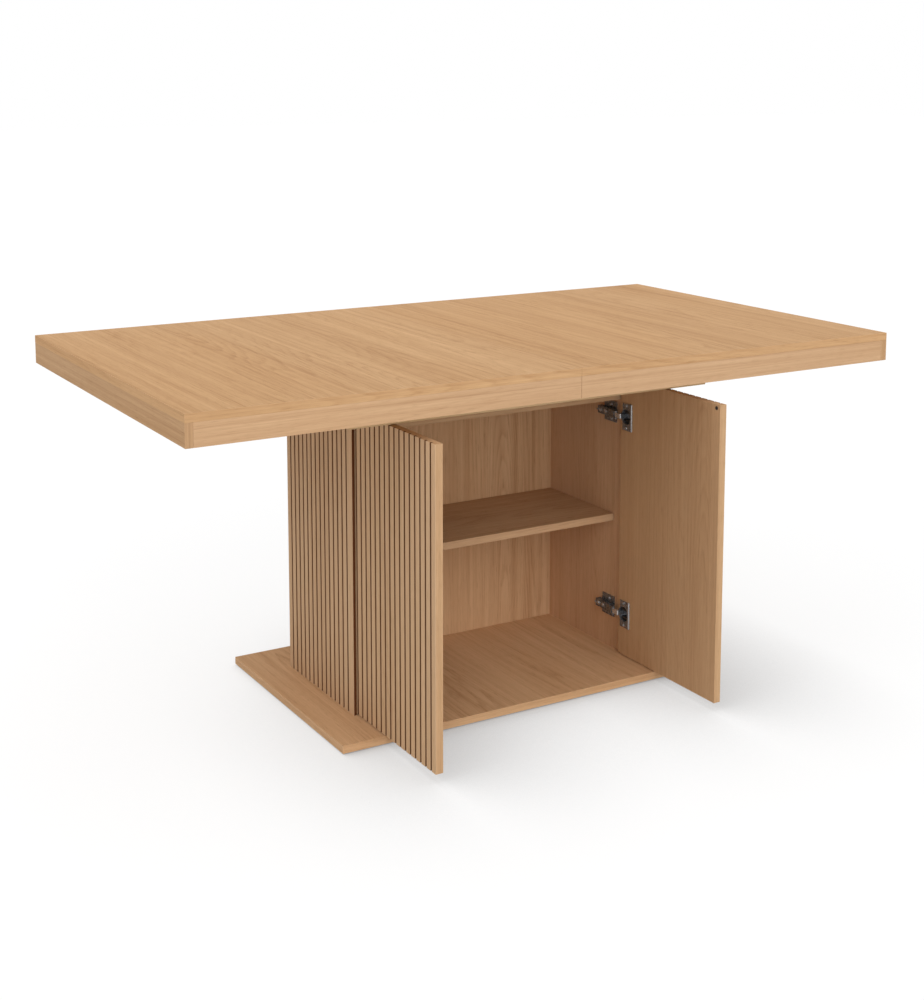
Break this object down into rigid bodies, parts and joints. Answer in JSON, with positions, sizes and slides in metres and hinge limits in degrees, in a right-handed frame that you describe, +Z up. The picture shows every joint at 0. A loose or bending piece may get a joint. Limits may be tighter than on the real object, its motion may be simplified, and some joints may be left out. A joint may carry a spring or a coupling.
{
  "type": "kitchen table with storage cabinet",
  "caption": "Extending oak table: a rectangular top with plain aprons, parted at a seam, on a pedestal cabinet with fluted side panels and fluted doors standing open on concealed hinges.",
  "frame": {"origin": "on the floor under the middle of the base plate", "axes": "+X along the table, +Z up; the doors are on the -Y side"},
  "size_m": [1.6, 0.925, 0.75],
  "materials": {
    "oak": "satin",
    "oak_inside": "satin",
    "raw_wood": "matte",
    "steel": "satin",
    "nickel": "polished",
    "black_plastic": "matte"
  },
  "bodies": {
    "pedestal": {"base_plate": "oak", "base_glides": "black_plastic", "side_panel_left": "oak", "side_panel_right": "oak", "back_panel": "oak_inside", "shelf": "oak_inside", "shelf_pins": "nickel", "front_rail": "oak_inside", "rear_rail": "oak_inside", "carrier_plate": "raw_wood", "plate_brackets": "steel", "runner_beam_front": "raw_wood", "runner_beam_rear": "raw_wood", "slide_channel_front": "steel", "slide_channel_rear": "steel", "leaf_bearers": "raw_wood", "leaf_board_lower": "oak", "leaf_board_upper": "oak", "leaf_hinges": "nickel", "hinge_mounts_left": "nickel", "hinge_mounts_right": "nickel", "mount_screws_left": "nickel", "mount_screws_right": "nickel", "hinge_arms_left": "nickel", "hinge_arms_right": "nickel", "catch_housings": "black_plastic"},
    "left_door": {"door_panel_left": "oak", "hinge_cups_left": "nickel", "cup_screws_left": "nickel", "strike_disc_left": "black_plastic"},
    "left_hinge_links": {"hinge_links_left": "nickel"},
    "left_catch": {"catch_plunger_left": "black_plastic"},
    "left_top": {"top_panel_left": "oak", "front_apron_left": "oak", "rear_apron_left": "oak", "end_apron_left": "oak", "slide_bars_left": "steel", "slide_battens_left": "raw_wood", "corner_blocks_left": "raw_wood", "seam_pegs": "raw_wood"},
    "right_door": {"door_panel_right": "oak", "hinge_cups_right": "nickel", "cup_screws_right": "nickel", "strike_disc_right": "black_plastic"},
    "right_hinge_links": {"hinge_links_right": "nickel"},
    "right_catch": {"catch_plunger_right": "black_plastic"},
    "right_top": {"top_panel_right": "oak", "front_apron_right": "oak", "rear_apron_right": "oak", "end_apron_right": "oak", "slide_bars_right": "steel", "slide_battens_right": "raw_wood", "corner_blocks_right": "raw_wood"}
  },
  "joints": [
    {"name": "left_door_hinge", "type": "hinge", "parent": "pedestal", "child": "left_door", "pos_m": [-0.3305, -0.1455, 0.333], "axis": [0, 0, -1], "range_deg": [-90, 0]},
    {"name": "left_link_pin", "type": "hinge", "parent": "pedestal", "child": "left_hinge_links", "pos_m": [-0.314, -0.129, 0.333], "axis": [0, 0, -1], "range_deg": [-45, 0]},
    {"name": "left_catch_slide", "type": "slide", "parent": "pedestal", "child": "left_catch", "axis": [0, -1, 0], "range_m": [0, 0.01]},
    {"name": "left_top_slide", "type": "slide", "parent": "pedestal", "child": "left_top", "axis": [-1, 0, 0], "range_m": [0, 0.2]},
    {"name": "right_door_hinge", "type": "hinge", "parent": "pedestal", "child": "right_door", "pos_m": [0.3305, -0.1455, 0.333], "axis": [0, 0, 1], "range_deg": [-90, 0]},
    {"name": "right_link_pin", "type": "hinge", "parent": "pedestal", "child": "right_hinge_links", "pos_m": [0.314, -0.129, 0.333], "axis": [0, 0, 1], "range_deg": [-45, 0]},
    {"name": "right_catch_slide", "type": "slide", "parent": "pedestal", "child": "right_catch", "axis": [0, -1, 0], "range_m": [0, 0.01]},
    {"name": "right_top_slide", "type": "slide", "parent": "pedestal", "child": "right_top", "axis": [1, 0, 0], "range_m": [0, 0.2]}
  ],
  "couplings": [
    {"joint": "left_link_pin", "follows": "left_door_hinge", "ratio": 0.5},
    {"joint": "right_link_pin", "follows": "right_door_hinge", "ratio": 0.5}
  ]
}
